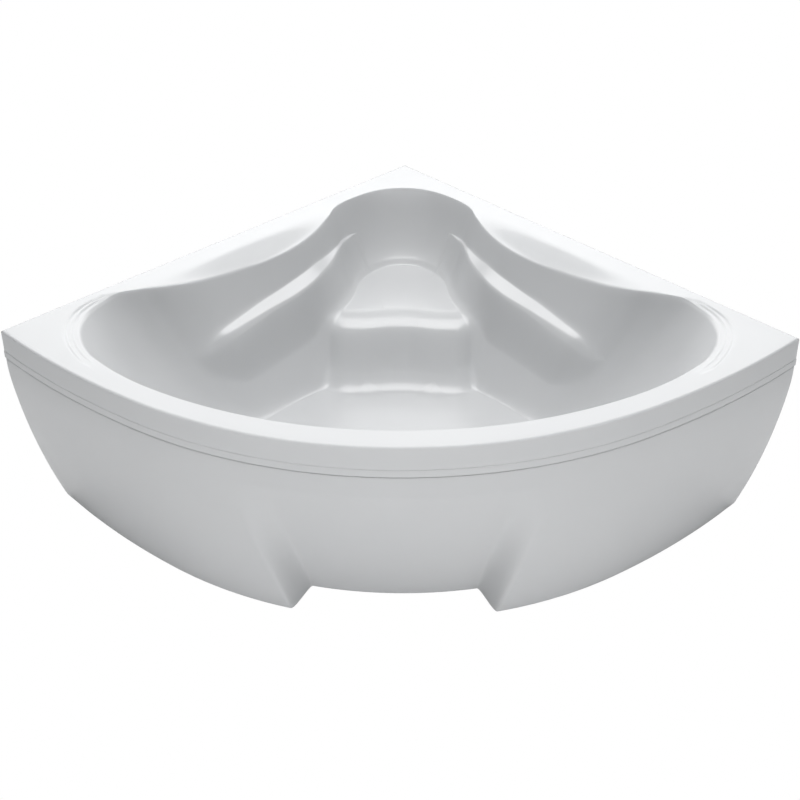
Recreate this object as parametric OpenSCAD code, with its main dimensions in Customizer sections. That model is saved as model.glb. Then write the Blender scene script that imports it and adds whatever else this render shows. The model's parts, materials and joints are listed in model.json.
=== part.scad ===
// Corner bathtub with a front apron, support frame, levelling feet, waste and overflow.
// Sizes are in millimetres. X runs right, Y runs to the back corner, Z runs up from the floor.

/* [Bath] */
// length of each straight wall side of the rim
wall_len = 1500; // [1470:5:1530]
// height of the rim above the floor
rim_h = 640; // [630:1:660]
// how far the front bows ahead of the line between the two side corners
front_bow = 455; // [445:1:465]
// radius of the middle part of the front curve
front_radius = 1328; // [1310:1:1345]
// half angle of the middle part of the front curve
join_deg = 28.65; // [28:0.05:29.3]
// width of the deck along the front
deck_front = 62; // [60:1:70]
// thickness of the laminated shell
shell_t = 8; // [6.5:0.5:8.5]
// height of the rim band
band_h = 82; // [78:1:86]
// how far the front rim band flares outward at its lower edge
band_flare = 9; // [5:1:10]
// depth of the dips in the deck along the walls
dip_depth = 35; // [20:1:40]
// drop of the two small steps around the basin's ends
ridge_drop = 8; // [4:1:10]

/* [Basin] */
// height of the basin floor at the drain
basin_z = 190; // [186:1:200]
// fall of the floor toward the drain, as a slope
floor_fall = 0.012; // [0.008:0.001:0.015]
// height of the corner seat near its front edge
seat_z = 390; // [380:1:400]
// distance of the seat's front edge from the back corner
seat_v = 633; // [620:1:640]
// steepness of the seat's riser
riser_slope = 3.2; // [2.8:0.1:4.5]
// reach of the soft hollow where the seat meets the walls and the floor
seat_blend = 130; // [110:5:135]
// width of the armrest ledges
ledge_w = 50; // [42:1:52]
// curve of the basin walls, 1 is straight
wall_curve = 1.5; // [1.4:0.05:1.6]

/* [Apron] */
// gap between the rim band and the apron
apron_gap = 3; // [2:0.5:5]
// height of the apron's lower edge above the floor
apron_foot = 6; // [5:1:10]
// thickness of the apron
apron_t = 5; // [4:0.5:5]
// how far the apron bulges ahead of the rim's outline
bulge = 14; // [10:1:16]
// set-back of the lower edge at the legs
leg_set = 18; // [16:1:22]
// set-back of the lower edge at the ends
end_set = 38; // [34:1:40]
// set-back of the toe recess at its lower edge
toe_set = 107; // [95:1:110]
// half width of the toe recess at its lower edge
toe_half = 285; // [275:1:295]
// width of the flange along the apron's top edge
top_flange = 24; // [22:1:26]
// width of the flange along the apron's bottom edge
low_flange = 27; // [25:1:28]

/* [Frame] */
// outside width of the frame's square tube
tube = 30; // [28:1:30]
// wall of the frame's square tube
tube_t = 2; // [1.5:0.5:2.5]
// outside width of the front posts' square tube
post_small = 20; // [18:1:20]
// thickness of the base board
board_t = 18; // [15:1:18]
// thickness of the front and wall battens
batten_t = 18; // [15:1:20]
// clearance between faces that rest on each other
seat_gap = 0.1; // [0.05:0.05:0.2]
// distance of the front cross rail from the back corner
front_rail_v = 1060; // [1050:5:1070]
// distance of the rear cross rail from the back corner
rear_rail_v = 790; // [780:5:800]
// distance of the runners from the middle
runner_x = 380; // [375:1:385]
// radius of the frame bolts
bolt_r = 4; // [3:0.5:4]
// radial clearance of the frame bolts in their holes
bolt_clear = 0.3; // [0.2:0.1:0.5]
// radius of the board screws
screw_r = 2; // [1.5:0.5:2]

/* [Feet] */
// radius of the foot studs
stud_r = 6; // [5:0.5:6]
// radial running clearance of the studs in nuts and pads
stud_clear = 0.05; // [0.03:0.01:0.08]
// radius of the foot pads
pad_r = 22; // [18:1:22]
// distance of the end feet from the ends of the front rail
end_foot_in = 50; // [48:1:55]

/* [Waste and overflow] */
// distance of the drain from the back corner
drain_v = 1250; // [1245:1:1255]
// radius of the drain hole
drain_r = 26; // [25:0.5:27]
// depth of the round seat around the drain hole
dish_d = 2; // [1.5:0.5:3]
// depth of the overflow's centre below the rim
overflow_drop = 80; // [75:1:90]
// radius of the overflow hole
overflow_r = 26; // [25.5:0.5:27]
// radius of the plug's stem
stem_r = 3; // [2.5:0.5:3]
// radius of the knob's shaft
shaft_r = 4; // [3:0.5:4]
// radius of the lever's pivot pin
pivot_r = 2; // [1.5:0.5:2]
// radial running clearance of stem, shaft and pivot
run_clear = 0.05; // [0.03:0.01:0.08]
// outside radius of the waste and trap pipes
pipe_r = 20; // [19:0.5:20]
// wall of the waste and trap pipes
pipe_t = 2.5; // [2:0.5:3]
// outside radius of the overflow hose
hose_r = 14; // [13.5:0.5:15]
// lean of the overflow hose from upright, in degrees
hose_lean = 12.6; // [12:0.1:13.5]

/* [Hidden] */
$fn = 48;

root2 = sqrt(2);
k = wall_len / 1500;
half_w = wall_len / root2;
bow = front_bow * k;
mid_radius = front_radius * k;
corner_y = (half_w + bow + bulge) / 2;
c1y = corner_y - half_w - bow + mid_radius;
join_pt = [mid_radius * sin(join_deg), c1y - mid_radius * cos(join_deg)];
join_n = [-sin(join_deg), cos(join_deg)];
to_corner = [half_w, corner_y - half_w] - join_pt;
side_radius = (to_corner * to_corner) / (2 * (to_corner * join_n));
c2 = join_pt + side_radius * join_n;
band_z = rim_h - band_h;
under_z = basin_z - 10;
board_top = under_z - seat_gap;
board_low = board_top - board_t;
rail_top = board_low - seat_gap;
rail_low = rail_top - tube;
runner_top = rail_low - seat_gap;
runner_low = runner_top - tube;
front_rail_y = corner_y - front_rail_v * k;
rear_rail_y = corner_y - rear_rail_v * k;
deck_low = rim_h - shell_t - seat_gap;
drain_y = corner_y - drain_v * k;
seat_y = corner_y - seat_v * k;
back_post_y = corner_y - 104 * k;
back_foot_y = corner_y - 150 * k;
prop_y = corner_y - (seat_v - 163) * k;
run_x = runner_x * k;
// The runners end behind the apron's legs, and the front rail ends inside the apron's ends
run_front = c1y - sqrt(mid_radius * mid_radius - run_x * run_x);
runner_front_y = run_front + leg_set + 14.63;
front_post_y = runner_front_y + 14;
front_foot_y = runner_front_y + 42.5;
rail_end = c2[0] + sqrt(pow(side_radius - end_set - apron_t, 2) - pow(front_rail_y - 12 - c2[1], 2))
    - 4.75;
end_post_x = rail_end - 23;
end_foot = rail_end - end_foot_in;
overflow_z = rim_h - overflow_drop;
screw_x_front = [-250, -150, 150, 250] * k;
screw_x_rear = [-220, -120, 120, 220] * k;
clip_angles = [-23, -9, 9, 23];
boss_rise = 1.5;
wall_bracket_u = [420 * k, 1020 * k];

// Height of the ends of the spokes along the wall, measured from the back corner
wall_stations = [0, 120, 245, 350, 440, 520, 600, 690, 785, 880, 975, 1065, 1160, 1270, 1390, 1500] * k;

// Basin opening from the back round to the front: half width and distance from the back corner
opening_pts = [[0, 187], [90, 207], [168, 264], [218, 326], [238, 396], [268, 470],
    [320, 541], [392, 604], [466, 664], [534, 727], [603, 786], [672, 824],
    [742, 846], [808, 876], [850, 938], [859, 1008], [840, 1078], [795, 1150], [720, 1224]];
// Basin floor in the same order; its back part runs on under the seat
floor_pts = [[0, 340], [44, 348], [80, 378], [98, 433], [106, 503], [116, 566],
    [136, 624], [174, 672], [228, 720], [290, 768], [343, 816], [385, 862],
    [430, 908], [455, 950], [468, 990], [474, 1030], [476, 1070], [472, 1108],
    [462, 1153], [438, 1200], [388, 1248], [285, 1292], [150, 1318], [0, 1326]];

function lerp(a, b, t) = a + (b - a) * t;
function clamp(v, a, b) = min(max(v, a), b);
function unit(v) = v / norm(v);
function ease(v, a, b) = let (t = clamp((v - a) / (b - a), 0, 1)) t * t * (3 - 2 * t);
function soft_min(a, b, w) = let (h = max(w - abs(a - b), 0) / w) min(a, b) - h * h * w / 4;
function soft_max(a, b, w) = -soft_min(-a, -b, w);
function at(list, i) = let (j = min(floor(i), len(list) - 2)) lerp(list[j], list[j + 1], i - j);

// Where the wall line at inset a meets the front curve at inset b
function wall_end(a, b) =
    let (p = -a / root2 - c2[0], q = corner_y - a / root2 - c2[1])
    -(p - q) / root2 + sqrt((p - q) * (p - q) / 2 - (p * p + q * q - pow(side_radius - b, 2)));
function wall_pt(u, d) = [(u - d) / root2, corner_y - (u + d) / root2];
// Outline of the rim by spoke number, 0 at the back, 15 at the corner, 23 at the front
function outline(i, a, b) =
    let (e = wall_end(a, b))
    i <= 15 ? wall_pt(a + at(wall_stations, i) / wall_len * (e - a), a)
    : i <= 19 ?
        let (c = wall_pt(e, a), g = atan2(c[0] - c2[0], c2[1] - c[1]))
        side_pt(lerp(g, join_deg, (i - 15) / 4), b)
    : mid_pt(join_deg * (23 - i) / 4, b);
function side_pt(g, d) = [c2[0] + (side_radius - d) * sin(g), c2[1] - (side_radius - d) * cos(g)];
function mid_pt(g, d) = [(mid_radius - d) * sin(g), c1y - (mid_radius - d) * cos(g)];

opening = [for (i = [0:23]) i < 19 ? [opening_pts[i][0] * k, corner_y - opening_pts[i][1] * k]
    : mid_pt(join_deg * (23 - i) / 4, deck_front)];
floor_edge = [for (p = floor_pts) [p[0] * k, corner_y - p[1] * k]];
floor_mid = [0, corner_y - 1010 * k];

function flip(p) = [-p[0], p[1]];
function knot(list, j) = j < 0 ? flip(list[-j]) : j > 23 ? flip(list[46 - j]) : list[j];
function smooth(list, i) =
    let (j = min(floor(i), 22), t = i - j, a = knot(list, j - 1), b = knot(list, j),
        c = knot(list, j + 1), d = knot(list, j + 2))
    0.5 * (2 * b + (c - a) * t + (2 * a - 5 * b + 4 * c - d) * t * t
        + (3 * b - a - 3 * c + d) * t * t * t);

// Heights
function from_wall(p) = (corner_y - p[1] - abs(p[0])) / root2;
function along_wall(p) = (corner_y - p[1] + abs(p[0])) / root2;
function deck_z(p) =
    let (u = along_wall(p) / k, d = from_wall(p) / k)
    rim_h - dip_depth * ease(u, 400, 760) * (1 - ease(u, 760, 1150)) * (1 - ease(d, 300, 400))
        * ease(d, 70, 150);
function floor_z(y) = basin_z + floor_fall * abs(y - drain_y);
function seat_plane(y) = seat_z + 0.03 * (y - seat_y);
// The seat's front edge stands back a little in the middle and at its sides
function seat_edge(x) =
    seat_y + 14 * k * (1 - ease(abs(x) / k, 20, 130)) + 70 * k * ease(abs(x) / k, 170, 330);
// The seat rolls off gently towards its front edge, drops, and runs out onto the floor
function seat_top(p) =
    let (ahead = seat_edge(p[0]) - p[1], roll = max(ahead + 80 * k, 0),
        drop = seat_z - 35 * k - (ahead - 16 * k) * riser_slope,
        run_out = basin_z + 72 - 1.05 * (ahead - 44 * k))
    soft_min(seat_plane(p[1]) - 0.0042 / k * roll * roll, soft_max(drop, run_out, 50), 60);
// Reach of the hollow between the seat and a surface at height r, widest at the seat's back
function blend_at(p, r) =
    lerp(30, seat_blend + 60 * ease((corner_y - p[1]) / k, 420, 300),
        ease(r, basin_z + 30, basin_z + 140));
// Two small steps around the basin's ends, at distance t outside the opening
function ridge(i, t) =
    ridge_drop / 2 * ease(i, 12.6, 13.6) * (1 - ease(i, 16.8, 17.8))
        * (2 - ease(t, 16, 24) - ease(t, 32, 40));
function wall_z(i, s) =
    let (e = smooth(opening, i), f = smooth(floor_edge, i), a = deck_z(e) - ridge(i, 0),
        b = floor_z(f[1]))
    s < 0 ? a - (a - b) * wall_curve * s : b + (a - b) * pow(max(1 - s, 0), wall_curve);
function ledge_s(i) =
    0.13 + 0.19 * pow(max(i - 5.6, 0) / 5.9, 1.5) + 0.04 * ease(i, 10.2, 11.4)
        + 0.06 * pow(max(5.6 - i, 0) / 3.4, 1.2);
function ledge_width(i) =
    (9 + (ledge_w - 9) * ease(i, 2.8, 7.4)) * ease(i, 2, 2.8) * (1 - ease(i, 10.2, 11.9));
// The ledge holds the wall's slope back over its width, so the wall below it stands further in
function ledge_shift(i, s) =
    let (run = norm(smooth(floor_edge, i) - smooth(opening, i)), w = ledge_width(i),
        soft = 1 + 3 * ease(i, 6.5, 11), q = (s - ledge_s(i)) * run, low = ledge_s(i) + w / run,
        up = soft_max(q, 0, min(4, w / 3 + 0.01) * soft),
        held = soft_min(up, w, min(6, w / 3 + 0.01) * soft),
        fade = lerp(0.5, 0.18, ease(i, 3, 7)))
    s < ledge_s(i) - 0.1 ? 0 : 0.84 * held / run * (1 - ease(s, low, low + fade));

// A point of the basin on spoke i, from the opening (s 0) by the floor's edge (s 1) to its middle (s 2)
function basin_pt(i, s) =
    let (e = smooth(opening, i), f = smooth(floor_edge, i),
        p = s <= 1 ? lerp(e, f, s) : lerp(f, floor_mid, s - 1),
        r = s > 1 ? floor_z(p[1]) : wall_z(i, s - ledge_shift(i, s)),
        z = soft_max(r, seat_top(p), blend_at(p, r)))
    [p[0], p[1], soft_min(z, deck_z(p) - ridge(i, 0), 12)];
// A point of the deck at distance t outside the opening; q 0 to 1 leads on to the rim's fillet
function deck_pt(i, t, q) =
    let (e = smooth(opening, i), o = outline(i, 6, 6), f = smooth(floor_edge, i),
        n = norm(o - e), a = min(t * min(1, n / 80), n), p = lerp(e + (o - e) * a / n, o, q),
        m = norm(p - e), rise = wall_z(i, -m / norm(f - e)))
    [p[0], p[1], soft_min(rise, deck_z(p) - (1 - q) * ridge(i, t), 12)];

// Spokes and rings of the shell; the rings of a spoke lie closer where it bends more
spokes = [for (i = [0:0.5:23]) i];
deck_t = [40, 32, 24, 16, 4];
bend_weight = 130;
samples = 60;
function ring_end(i) =
    let (f = smooth(floor_edge, i)) 1.22 + max(0, (f[1] - seat_y) / (f[1] - floor_mid[1])) * (f[1] > seat_y ? 1 : 0);
function bend_rad(a, b, c) = acos(clamp(unit(b - a) * unit(c - b), -1, 1)) * PI / 180;
function ring_places(i, first, count) =
    let (span = ring_end(i) - first,
        p = [for (j = [0:samples]) basin_pt(i, first + span * j / samples)],
        w = [for (j = [0:samples - 1])
            norm(p[j + 1] - p[j]) + (j == 0 ? 0 : bend_weight * bend_rad(p[j - 1], p[j], p[j + 1]))],
        sums = [for (j = 0, c = 0; j <= samples; c = c + (j < samples ? w[j] : 0), j = j + 1) c])
    [for (r = [0:count - 1])
        let (want = sums[samples] * r / (count - 1),
            j = min(len([for (c = sums) if (c <= want) 1]) - 1, samples - 1),
            part = clamp((want - sums[j]) / (sums[j + 1] - sums[j]), 0, 1))
        first + span * (j + part) / samples];
function band_ring(i, a, b, z) = let (p = outline(i, a, b)) [p[0], p[1], z];
flare_at = function (z) -band_flare * (rim_h - 6 - z) / (band_h - 6);
function outer_spoke(i) = concat(
    [band_ring(i, 0, flare_at(band_z) - 1.5, band_z),
        band_ring(i, 0, flare_at(band_z + 18) - 1.5, band_z + 18),
        band_ring(i, 0, flare_at(band_z + 20), band_z + 20),
        band_ring(i, 0, 0, rim_h - 6),
        band_ring(i, 1.8, 1.8, rim_h - 1.8),
        band_ring(i, 6, 6, rim_h)],
    [deck_pt(i, 40, 0.6), deck_pt(i, 40, 0.25)],
    [for (t = deck_t) deck_pt(i, t, 0)],
    [for (s = ring_places(i, 0, 23)) basin_pt(i, s)]);

function slope_n(a, b, c, d) = let (n = cross(b - a, d - c)) n[2] < 0 ? -unit(n) : unit(n);
// The underside of a basin or deck point, one shell thickness below it
function below(p, n) = p - shell_t * n;
function basin_low(i, s) =
    let (h = 0.01, g = 0.05, p = basin_pt(i, s),
        n = slope_n(basin_pt(max(i - g, 0), s), basin_pt(min(i + g, 23), s),
            basin_pt(i, max(s - h, 0)), basin_pt(i, s + h)),
        m = i == 0 || i == 23 ? unit([0, n[1], n[2]]) : n,
        r = below(p, m))
    s >= 1 && p[2] - floor_z(p[1]) < 3 ? [p[0], p[1], under_z] : r;
function deck_low_pt(i, t, q) =
    let (h = 1, g = 0.05, p = deck_pt(i, t, q),
        n = slope_n(deck_pt(max(i - g, 0), t, q), deck_pt(min(i + g, 23), t, q),
            deck_pt(i, t + h, q), deck_pt(i, max(t - h, 0), q)),
        m = i == 0 || i == 23 ? unit([0, n[1], n[2]]) : n)
    q > 0 ? [p[0], p[1], p[2] - shell_t] : below(p, m);
function inner_spoke(i) = concat(
    [band_ring(i, shell_t, shell_t + flare_at(band_z) - 1.5, band_z),
        band_ring(i, shell_t, shell_t + flare_at(band_z + 20), band_z + 20),
        band_ring(i, shell_t, shell_t, rim_h - shell_t)],
    [deck_low_pt(i, 40, 0.52), deck_low_pt(i, 40, 0.2)],
    [for (t = [36, 20, 8]) deck_low_pt(i, t, 0)],
    [for (s = ring_places(i, 0.05, 18)) basin_low(i, s)]);

function mirror_ring(list) = concat(list,
    [for (j = [len(list) - 2:-1:1]) [for (p = list[j]) [-p[0], p[1], p[2]]]]);
function flat_list(list) = [for (a = list) for (b = a) b];
function quad(a, b, c, d) = [[a, b, c], [a, c, d]];

// Closed shell between two sets of spokes that share their first ring and close at a middle point
module spoke_shell(top, low, top_mid, low_mid) {
    n = len(top);
    mt = len(top[0]);
    ml = len(low[0]);
    base = n * mt;
    pts = concat(flat_list(top), flat_list(low), [top_mid, low_mid]);
    ct = n * mt + n * ml;
    top_faces = [for (j = [0:n - 1]) for (r = [0:mt - 2])
        let (a = (j + 1) % n) each quad(j * mt + r, j * mt + r + 1, a * mt + r + 1, a * mt + r)];
    low_faces = [for (j = [0:n - 1]) for (r = [0:ml - 2])
        let (a = (j + 1) % n)
        each quad(base + j * ml + r, base + a * ml + r, base + a * ml + r + 1, base + j * ml + r + 1)];
    rim_faces = [for (j = [0:n - 1]) let (a = (j + 1) % n)
        each quad(j * mt, a * mt, base + a * ml, base + j * ml)];
    mid_faces = [for (j = [0:n - 1]) let (a = (j + 1) % n)
        each [[j * mt + mt - 1, ct, a * mt + mt - 1],
            [base + j * ml + ml - 1, base + a * ml + ml - 1, ct + 1]]];
    faces = concat(top_faces, low_faces, rim_faces, mid_faces);
    polyhedron(pts, [for (f = faces) [f[2], f[1], f[0]]], convexity = 8);
}

// Overflow position on the front wall of the basin
wall_top = opening[23][1];
wall_run = floor_edge[23][1] - opening[23][1];
wall_drop = rim_h - floor_z(floor_edge[23][1]);
overflow_left = pow((overflow_z - floor_z(floor_edge[23][1])) / wall_drop, 1 / wall_curve);
overflow_y = wall_top + (1 - overflow_left) * wall_run;
overflow_grade = wall_drop * wall_curve * pow(overflow_left, wall_curve - 1) / wall_run;
overflow_tilt = atan(1 / overflow_grade);
module at_overflow() {
    translate([0, overflow_y, overflow_z]) rotate([overflow_tilt - 90, 0, 0]) children();
}
module ring(r_out, r_in, z0, z1) {
    difference() {
        translate([0, 0, z0]) cylinder(r = r_out, h = z1 - z0);
        if (r_in > 0) translate([0, 0, z0 - 1]) cylinder(r = r_in, h = z1 - z0 + 2);
    }
}
module rod(r, z0, z1) {
    translate([0, 0, z0]) cylinder(r = r, h = z1 - z0);
}
module hex(r, z0, z1) {
    translate([0, 0, z0]) cylinder(r = r, h = z1 - z0, $fn = 6);
}

module tub_shell() {
    color("white") difference() {
        union() {
            spoke_shell(mirror_ring([for (i = spokes) outer_spoke(i)]),
                mirror_ring([for (i = spokes) inner_spoke(i)]),
                [floor_mid[0], floor_mid[1], floor_z(floor_mid[1])],
                [floor_mid[0], floor_mid[1], under_z]);
            at_overflow() rod(overflow_r + 16, -shell_t - 1, boss_rise);
        }
        at_overflow() rod(overflow_r, -shell_t - 20, 20);
        translate([0, drain_y, 0]) rod(drain_r, under_z - 10, basin_z + 20);
        translate([0, drain_y, 0]) rod(drain_r + 20, basin_z - dish_d, basin_z + 20);
    }
}

// Frame
module tube_x(x0, x1, y, z0, w = tube) {
    difference() {
        translate([x0, y - w / 2, z0]) cube([x1 - x0, w, w]);
        translate([x0 - 1, y - w / 2 + tube_t, z0 + tube_t])
            cube([x1 - x0 + 2, w - 2 * tube_t, w - 2 * tube_t]);
    }
}
module tube_y(y0, y1, x, z0, w = tube) {
    difference() {
        translate([x - w / 2, y0, z0]) cube([w, y1 - y0, w]);
        translate([x - w / 2 + tube_t, y0 - 1, z0 + tube_t])
            cube([w - 2 * tube_t, y1 - y0 + 2, w - 2 * tube_t]);
    }
}
// Upright tube with a welded plate at its foot, tapped for one bolt
module post(x, y, z0, z1, w = tube) {
    translate([x, y, 0]) difference() {
        translate([-w / 2, -w / 2, z0]) cube([w, w, z1 - z0]);
        translate([-w / 2 + tube_t, -w / 2 + tube_t, z0 + 4])
            cube([w - 2 * tube_t, w - 2 * tube_t, z1 - z0]);
        rod(bolt_r + run_clear, z0 - 1, z0 + 6);
    }
}
module hole(x, y, r, z0, z1) {
    translate([x, y, 0]) rod(r, z0, z1);
}
module base_board() {
    color("BurlyWood") difference() {
        translate([0, 0, board_low]) linear_extrude(board_t)
            polygon([for (p = [[215, 722], [390, 897], [440, 1000], [440, 1100], [405, 1180],
                    [-405, 1180], [-440, 1100], [-440, 1000], [-390, 897], [-215, 722]])
                [p[0] * k, corner_y - p[1] * k]]);
        for (x = screw_x_front) hole(x, front_rail_y, screw_r + run_clear, board_low - 1, board_low + 13);
        for (x = screw_x_rear) hole(x, rear_rail_y, screw_r + run_clear, board_low - 1, board_low + 13);
    }
}
module front_batten() {
    color("BurlyWood") difference() {
        translate([0, c1y, 0]) rotate([0, 0, -90 - 26]) rotate_extrude(angle = 52, $fn = 180)
            translate([mid_radius - 50, deck_low - batten_t]) square([36, batten_t]);
        for (g = clip_angles) at_front(g, 32)
            rod(1.5 + run_clear, deck_low - batten_t - 1, deck_low - batten_t + 14);
    }
}
module on_wall(side) {
    mirror([side < 0 ? 1 : 0, 0, 0]) translate([0, corner_y, 0]) rotate([0, 0, -45]) children();
}
module wall_batten(side) {
    color("BurlyWood") on_wall(side) translate([150 * k, -38, deck_low - batten_t - 4])
        cube([950 * k, 26, batten_t + 4]);
}
module rail_front() {
    color("silver") difference() {
        tube_x(-rail_end, rail_end, front_rail_y, rail_low);
        for (x = [-run_x, 0, run_x]) hole(x, front_rail_y, bolt_r + bolt_clear, rail_low - 1, rail_low + 5);
        for (x = [-end_post_x, end_post_x])
            hole(x, front_rail_y, bolt_r + bolt_clear, rail_low - 1, rail_top + 1);
        for (x = [-end_foot, end_foot])
            hole(x, front_rail_y, stud_r + bolt_clear, rail_low - 1, rail_low + 5);
        for (x = screw_x_front)
            hole(x, front_rail_y, screw_r + bolt_clear, rail_low - 1, rail_top + 1);
    }
}
module rail_rear() {
    color("silver") difference() {
        tube_x(-run_x - tube / 2 - 5, run_x + tube / 2 + 5, rear_rail_y, rail_low);
        for (x = [-run_x, 0, run_x]) hole(x, rear_rail_y, bolt_r + bolt_clear, rail_low - 1, rail_low + 5);
        for (x = screw_x_rear) hole(x, rear_rail_y, screw_r + bolt_clear, rail_low - 1, rail_top + 1);
    }
}
module rail_spine() {
    color("silver") difference() {
        tube_y(front_rail_y - tube / 2 - 5, back_post_y + tube / 2 + 2, 0, runner_low);
        for (y = [front_rail_y, rear_rail_y, prop_y, back_post_y])
            hole(0, y, bolt_r + bolt_clear, runner_low - 1, runner_top + 1);
        hole(0, back_foot_y, stud_r + bolt_clear, runner_low - 1, runner_low + 5);
    }
}
module runner(side) {
    color("silver") difference() {
        tube_y(runner_front_y, rear_rail_y + tube / 2 + 5, side * run_x, runner_low);
        for (y = [front_rail_y, rear_rail_y, front_post_y])
            hole(side * run_x, y, bolt_r + bolt_clear, runner_low - 1, runner_top + 1);
        hole(side * run_x, front_foot_y, stud_r + bolt_clear, runner_low - 1, runner_low + 5);
    }
}
module end_post(side) {
    color("silver") post(side * end_post_x, front_rail_y, rail_top + seat_gap, deck_low - 0.15);
}
module back_post() {
    color("silver") post(0, back_post_y, rail_low, deck_low);
}
module front_post(side) {
    color("silver") post(side * run_x, front_post_y, rail_low, deck_low - batten_t - seat_gap, post_small);
}
module seat_prop() {
    low = seat_plane(prop_y) - shell_t * sqrt(1 + 0.03 * 0.03) - 2 * seat_gap;
    color("silver") difference() {
        post(0, prop_y, rail_low, low + 10);
        translate([0, prop_y, low]) rotate([atan(0.03), 0, 0])
            translate([-tube, -tube, 0]) cube([2 * tube, 2 * tube, 40]);
    }
}
// A bolt with its hexagon head below z0
module bolt(x, y, z0, z1) {
    translate([x, y, 0]) {
        rod(bolt_r, z0 - 0.5, z1);
        hex(bolt_r * 1.85, z0 - 5.5, z0);
    }
}
module frame_bolts() {
    color("gainsboro") {
        for (x = [-run_x, 0, run_x]) for (y = [front_rail_y, rear_rail_y])
            bolt(x, y, runner_low - seat_gap, rail_low + 11);
        for (x = [-end_post_x, end_post_x]) bolt(x, front_rail_y, rail_low - seat_gap, rail_top + 12);
        for (x = [-run_x, run_x]) bolt(x, front_post_y, runner_low - seat_gap, rail_low + 12);
        for (y = [prop_y, back_post_y]) bolt(0, y, runner_low - seat_gap, rail_low + 12);
    }
}
module frame_nuts() {
    color("gainsboro") for (x = [-run_x, 0, run_x]) for (y = [front_rail_y, rear_rail_y])
        translate([x, y, 0]) difference() {
            hex(bolt_r * 1.85, rail_low + tube_t + seat_gap, rail_low + tube_t + 7);
            rod(bolt_r + run_clear, rail_low, rail_low + tube_t + 8);
        }
}
module board_screws() {
    color("gold") {
        for (x = screw_x_front) board_screw(x, front_rail_y);
        for (x = screw_x_rear) board_screw(x, rear_rail_y);
    }
}
module board_screw(x, y) {
    translate([x, y, 0]) {
        rod(screw_r, rail_low - 0.5, board_low + 12);
        rod(screw_r * 2, rail_low - 2.4, rail_low - seat_gap);
    }
}
// Plastic plugs in the open tube ends that carry the panel brackets
plug_len = 9;
module tube_plug() {
    s = tube - 2 * tube_t - 0.2;
    difference() {
        translate([-s / 2, 0.1, -s / 2]) cube([s, plug_len, s]);
        rotate([-90, 0, 0]) rod(1.9 + run_clear, -1, plug_len - 1);
    }
}
module tube_plugs() {
    color("dimgray") {
        for (s = [-1, 1]) {
            translate([s * run_x, runner_front_y, (runner_low + runner_top) / 2]) tube_plug();
            translate([s * rail_end, front_rail_y, (rail_low + rail_top) / 2])
                rotate([0, 0, s * 90]) tube_plug();
        }
    }
}

// Feet: x, y and underside of the tube they stand in
foot_pos = [[-end_foot, front_rail_y, rail_low], [end_foot, front_rail_y, rail_low],
    [-run_x, front_foot_y, runner_low], [run_x, front_foot_y, runner_low],
    [0, back_foot_y, runner_low]];
module foot_nut_plates() {
    color("gainsboro") for (p = foot_pos) translate([p[0], p[1], 0]) difference() {
        translate([-12, -12, p[2] + tube_t + 0.05]) cube([24, 24, 6]);
        rod(stud_r + stud_clear, p[2], p[2] + tube_t + 8);
    }
}
module foot_lock_nuts() {
    color("gainsboro") for (p = foot_pos) translate([p[0], p[1], 0]) difference() {
        hex(stud_r * 1.75, p[2] - 7.5, p[2] - seat_gap);
        rod(stud_r + stud_clear, p[2] - 9, p[2] + 1);
    }
}
module foot_stud(n) {
    p = foot_pos[n];
    color("gainsboro") translate([p[0], p[1], 0]) {
        rod(stud_r, 8 + seat_gap, p[2] + tube_t + 15);
        hex(stud_r * 1.6, 24, 31);
    }
}
module foot_pad(n) {
    p = foot_pos[n];
    color("dimgray") translate([p[0], p[1], 0]) difference() {
        union() {
            rod(pad_r, 0, 6);
            translate([0, 0, 6]) cylinder(r1 = pad_r - 4, r2 = stud_r + 5, h = 8);
            rod(stud_r + 5, 13, 20);
        }
        rod(stud_r + stud_clear, 8, 30);
    }
}

// Apron
apron_top = band_z - apron_gap;
bulge_z = rim_h - 160;
toe_top = rim_h - 150;
function apron_base(x) =
    let (g = clamp((abs(x) - toe_half) / (1030 - toe_half), 0, 1)) lerp(leg_set, end_set, g * (0.55 + 0.45 * g));
function wing_set(x, z) =
    z > bulge_z ? -bulge + (bulge - band_flare) * pow((z - bulge_z) / (apron_top - bulge_z), 2)
    : -bulge + (apron_base(x) + bulge) * pow((bulge_z - z) / (bulge_z - apron_foot), 2);
function toe_depth(z) = -bulge + (toe_set + bulge) * max(toe_top - z, 0) / (toe_top - apron_foot);
function apron_set(x, z) =
    let (e = toe_half + 0.245 * z, w = 36 + 0.16 * z, a = wing_set(x, z))
    a + max(toe_depth(z) - a, 0) * (1 - ease(abs(x), e - w, e));
apron_half = [0, 80, 150, 205, 235, 250, 262, 274, 286, 300, 318, 338, 360, 385, 415, 460, 520,
    580, 636, 700, 770, 840, 910, 970, 1020];
// Front curve point by its nominal half width, at inset d; the last station ends near the wall
function apron_pt(x, d) =
    let (s = sign(x), a = abs(x) * k)
    a >= 1050 * k ?
        let (c = wall_pt(wall_end(2, d), 2)) [s * c[0], c[1]]
    : a <= join_pt[0] ? let (p = mid_pt(asin(a / mid_radius), d)) [s * p[0], p[1]]
    : let (p = side_pt(asin((a - c2[0]) / side_radius), d)) [s * p[0], p[1]];
apron_x = concat([-1060], [for (i = [24:-1:1]) -apron_half[i]], apron_half, [1060]);
apron_zs = concat([apron_top - 1.5], rim_h / 640 *
    [537, 510, 480, 450, 415, 375, 335, 290, 245, 200, 155, 110, 70, 40, 18]);
function apron_in(x, z) =
    let (g = (apron_set(x + 2, z) - apron_set(x - 2, z)) / 4)
    apron_set(x, z) + apron_t * sqrt(1 + g * g);
function apron_row(x, d, z) = let (p = apron_pt(x, d)) [p[0], p[1], z];
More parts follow.
